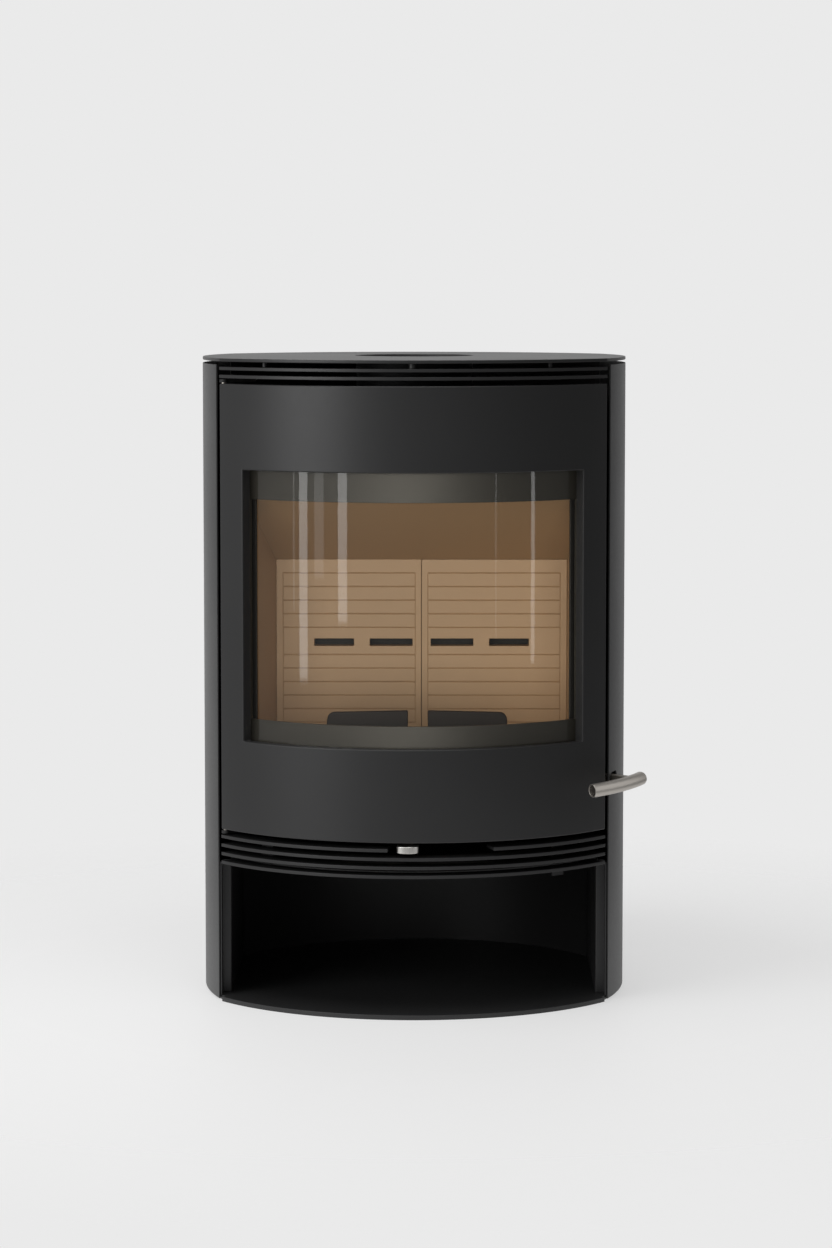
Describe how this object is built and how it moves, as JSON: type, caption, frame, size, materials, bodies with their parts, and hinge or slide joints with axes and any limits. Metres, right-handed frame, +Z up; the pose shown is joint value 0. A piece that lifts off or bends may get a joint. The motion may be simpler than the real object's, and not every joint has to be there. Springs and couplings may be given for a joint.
{
  "type": "wood burning stove",
  "caption": "Free-standing wood burning stove with a near-round steel body, a curved glazed door, fins above and below it, and an open log store under the fire.",
  "frame": {"origin": "on the floor under the middle of the body's plan, on the underside of the base plate", "axes": "+Z up; the door and the log store face -Y; the handle is on the +X side"},
  "size_m": [0.5625, 0.5425, 0.808],
  "materials": {
    "black_paint": "matt heat-proof stove paint",
    "inner_steel": "matt heat-darkened steel",
    "vermiculite": "pressed granular board",
    "cast_iron": "rough cast",
    "glass": "clear ceramic glass",
    "rope": "woven glass-fibre rope",
    "brushed_steel": "brushed lengthways"
  },
  "bodies": {
    "body": {"base_plate": "black_paint", "side_panel_left": "black_paint", "side_panel_right": "black_paint", "rear_panel": "black_paint", "store_liner": "black_paint", "upper_fin_1": "black_paint", "upper_fin_2": "black_paint", "top_post_left": "black_paint", "top_post_middle": "black_paint", "top_post_right": "black_paint", "lower_fin_1_left": "black_paint", "lower_fin_1_right": "black_paint", "lower_fin_2": "black_paint", "lower_fin_3": "black_paint", "lower_fin_4": "black_paint", "top_plate": "black_paint", "store_ceiling": "inner_steel", "fin_bracket_left": "inner_steel", "fin_bracket_right": "inner_steel", "ceiling_tongue": "inner_steel", "flue_collar": "inner_steel", "firebox_shell": "inner_steel", "firebox_bottom": "inner_steel", "firebox_top": "inner_steel", "firebox_face": "inner_steel", "hearth_plate": "inner_steel", "upper_baffle": "inner_steel", "ash_pan": "inner_steel", "air_duct": "inner_steel", "hinge_bracket_upper": "inner_steel", "hinge_bracket_lower": "inner_steel", "lock_bracket": "inner_steel", "lever_pivot": "inner_steel", "back_board_left": "vermiculite", "back_board_right": "vermiculite", "side_board_left": "vermiculite", "side_board_right": "vermiculite", "floor_board_left": "vermiculite", "floor_board_right": "vermiculite", "lower_baffle": "vermiculite", "grate": "cast_iron", "log_guard_left": "cast_iron", "log_guard_right": "cast_iron"},
    "door": {"door_panel": "black_paint", "door_inner_frame": "inner_steel", "glass_pane": "glass", "glass_seal": "rope", "door_seal": "rope", "striker": "inner_steel", "hinge_pin_upper": "brushed_steel", "hinge_pin_lower": "brushed_steel"},
    "handle": {"lock_shaft": "brushed_steel", "latch_finger": "inner_steel", "handle_arm": "brushed_steel", "handle_tube": "brushed_steel", "handle_plug_front": "brushed_steel", "handle_plug_rear": "brushed_steel"},
    "air_control": {"air_lever": "inner_steel", "air_knob": "brushed_steel", "air_damper": "inner_steel"}
  },
  "joints": [
    {"name": "door_swing", "type": "hinge", "parent": "body", "child": "door", "pos_m": [-0.2352, -0.1476, 0.5], "axis": [0, 0, -1], "range_deg": [0, 90]},
    {"name": "handle_pull", "type": "hinge", "parent": "body", "child": "handle", "pos_m": [0.2323, -0.1083, 0.28], "axis": [0, 0, 1], "range_deg": [0, 25]},
    {"name": "air_lever_turn", "type": "hinge", "parent": "body", "child": "air_control", "pos_m": [0, 0.03, 0.21], "axis": [0, 0, 1], "range_deg": [-1.5, 17.5]}
  ]
}
